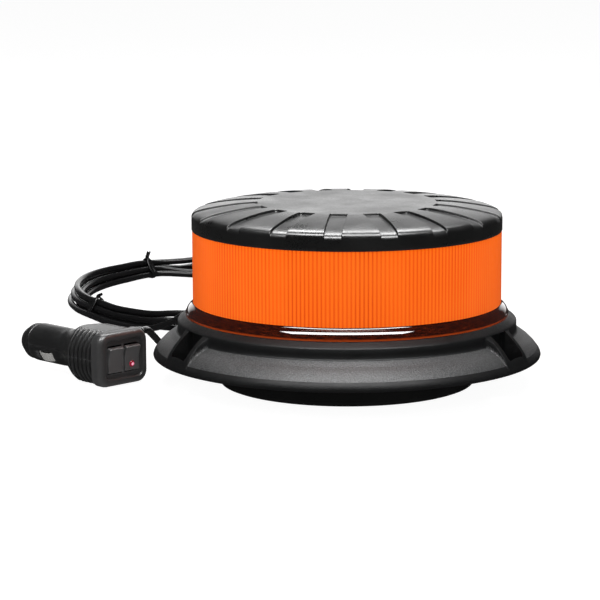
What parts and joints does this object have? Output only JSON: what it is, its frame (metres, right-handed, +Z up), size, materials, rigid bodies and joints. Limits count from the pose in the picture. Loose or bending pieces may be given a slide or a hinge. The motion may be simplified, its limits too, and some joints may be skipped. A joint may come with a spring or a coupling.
{
  "type": "LED warning beacon with magnetic base",
  "caption": "Low-profile amber LED warning beacon with magnetic foot and bolt-down flange, coiled lead and switched 12 V plug.",
  "frame": {"origin": "centre of the underside of the magnet foot", "axes": "+Z up along the lamp's axis, -Y towards the front, +X to the viewer's right"},
  "size_m": [0.273, 0.4705, 0.0936],
  "materials": {
    "base_plastic": "fine grained matt black",
    "cap_plastic": "satin black",
    "amber_lens": "clear amber, vertical prisms inside",
    "foot_rubber": "smooth black rubber",
    "inner_plastic": "dark grey, plain",
    "magnet_metal": "nickel plated",
    "steel": "zinc plated",
    "alloy": "as cast",
    "white_board": "white solder mask",
    "green_board": "green solder mask",
    "led_dome": "clear yellow dome",
    "brass": "turned",
    "terminal_green": "moulded green",
    "wire_red": "smooth wire insulation",
    "ribbon": "flat ribbon",
    "plug_plastic": "semi-gloss black",
    "rocker_plastic": "gloss black",
    "red_lens": "clear red",
    "contact_nickel": "nickel plated",
    "fuse_glass": "clear tube",
    "cord_black": "smooth black insulation"
  },
  "bodies": {
    "lamp": {"base_housing": "base_plastic", "magnet_boot": "foot_rubber", "magnet_carrier": "inner_plastic", "magnets": "magnet_metal", "magnet_plate": "steel", "magnet_screws": "steel", "base_gasket": "foot_rubber", "lens": "amber_lens", "cap_gasket": "foot_rubber", "cap": "cap_plastic", "housing_screws": "steel", "heat_spreader": "alloy", "led_boards": "white_board", "leds": "led_dome", "standoffs": "brass", "driver_board": "green_board", "board_screws": "steel", "capacitors": "inner_plastic", "inductors": "inner_plastic", "driver_chips": "inner_plastic", "terminal_block": "terminal_green", "supply_wires": "wire_red", "led_ribbon": "ribbon", "cord_gland": "cord_black", "gland_nut": "inner_plastic", "plug_shell_upper": "plug_plastic", "plug_shell_lower": "plug_plastic", "shell_screws": "steel", "plug_nose": "plug_plastic", "tip_spring": "steel", "fuse": "fuse_glass", "fuse_caps": "contact_nickel", "switch_bezel": "plug_plastic", "rocker_axle": "steel", "switch_bodies": "inner_plastic", "plug_board": "green_board", "plug_wires": "wire_red", "cord_boot": "cord_black", "cord_lead": "cord_black", "cord_coil": "cord_black", "cord_tail": "cord_black", "tie_front": "cord_black", "tie_back": "cord_black"},
    "rocker_left": {"rocker_left": "rocker_plastic"},
    "rocker_right": {"rocker_right": "rocker_plastic", "indicator_lens": "red_lens"},
    "tip": {"tip_contact": "contact_nickel"},
    "side_contact_front": {"side_contact_front": "contact_nickel"},
    "side_contact_back": {"side_contact_back": "contact_nickel"}
  },
  "joints": [
    {"name": "left_rocker", "type": "hinge", "parent": "lamp", "child": "rocker_left", "pos_m": [-0.11998, -0.01617, 0.0145], "axis": [-0.6947, -0.7193, 0], "range_deg": [0, 14]},
    {"name": "right_rocker", "type": "hinge", "parent": "lamp", "child": "rocker_right", "pos_m": [-0.11234, -0.00826, 0.0145], "axis": [-0.6947, -0.7193, 0], "range_deg": [0, 14]},
    {"name": "tip_press", "type": "slide", "parent": "lamp", "child": "tip", "axis": [0.7193, -0.6947, 0], "range_m": [0, 0.0025], "stiffness_N_per_m": 300, "springref_m": -0.001},
    {"name": "front_contact_press", "type": "slide", "parent": "lamp", "child": "side_contact_front", "axis": [0.6016, 0.623, 0.5], "range_m": [0, 0.0008], "stiffness_N_per_m": 300, "springref_m": -0.0005},
    {"name": "back_contact_press", "type": "slide", "parent": "lamp", "child": "side_contact_back", "axis": [-0.6016, -0.623, -0.5], "range_m": [0, 0.0008], "stiffness_N_per_m": 300, "springref_m": -0.0005}
  ]
}
